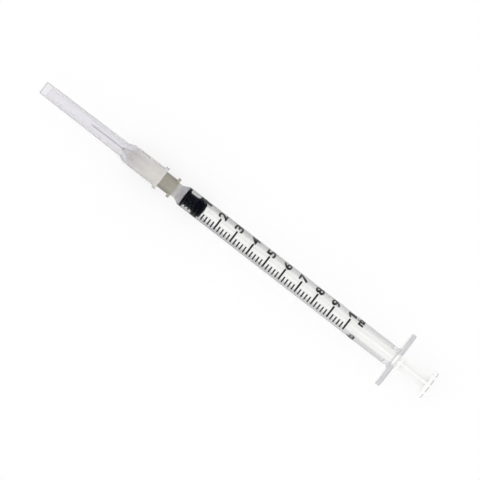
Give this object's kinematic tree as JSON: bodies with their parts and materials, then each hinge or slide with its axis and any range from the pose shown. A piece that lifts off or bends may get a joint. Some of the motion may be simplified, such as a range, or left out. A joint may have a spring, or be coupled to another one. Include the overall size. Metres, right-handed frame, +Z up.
{
  "type": "hypodermic syringe",
  "caption": "Slim one-millilitre syringe with a slip nozzle, finger flange, sliding plunger and a push-on needle under a removable tube cap.",
  "frame": {"origin": "centre of the nozzle's end face, on the barrel's axis", "axes": "+X along the barrel from the nozzle to the thumb rest, so the needle points to -X; +Y along the finger flange's long side; +Z up, out of the side that carries the scale"},
  "size_m": [0.1394, 0.018, 0.0096],
  "materials": {
    "barrel_plastic": "clear, slightly milky polypropylene with black printed scale",
    "stopper_rubber": "black rubber, dulled by silicone oil",
    "rod_plastic": "white, softly glossy moulded polypropylene",
    "hub_plastic": "translucent grey-brown polypropylene",
    "needle_steel": "drawn stainless tube with a ground point",
    "glue": "hardened clear resin over the grey tube",
    "cap_plastic": "thin frosted polypropylene"
  },
  "bodies": {
    "barrel": {"barrel": "barrel_plastic"},
    "stopper": {"stopper": "stopper_rubber"},
    "plunger": {"plunger_rod": "rod_plastic"},
    "needle": {"needle_hub": "hub_plastic", "cannula": "needle_steel", "adhesive": "glue"},
    "cap": {"needle_cap": "cap_plastic"}
  },
  "joints": [
    {"name": "plunger_slide", "type": "slide", "parent": "barrel", "child": "stopper", "axis": [1, 0, 0], "range_m": [0, 0.066]},
    {"name": "rod_turn", "type": "hinge", "parent": "stopper", "child": "plunger", "pos_m": [0.016, 0, 0], "axis": [1, 0, 0], "continuous": true},
    {"name": "needle_slide", "type": "slide", "parent": "barrel", "child": "needle", "axis": [-1, 0, 0], "range_m": [0, 0.03]},
    {"name": "cap_slide", "type": "slide", "parent": "needle", "child": "cap", "axis": [-1, 0, 0], "range_m": [0, 0.045]}
  ]
}
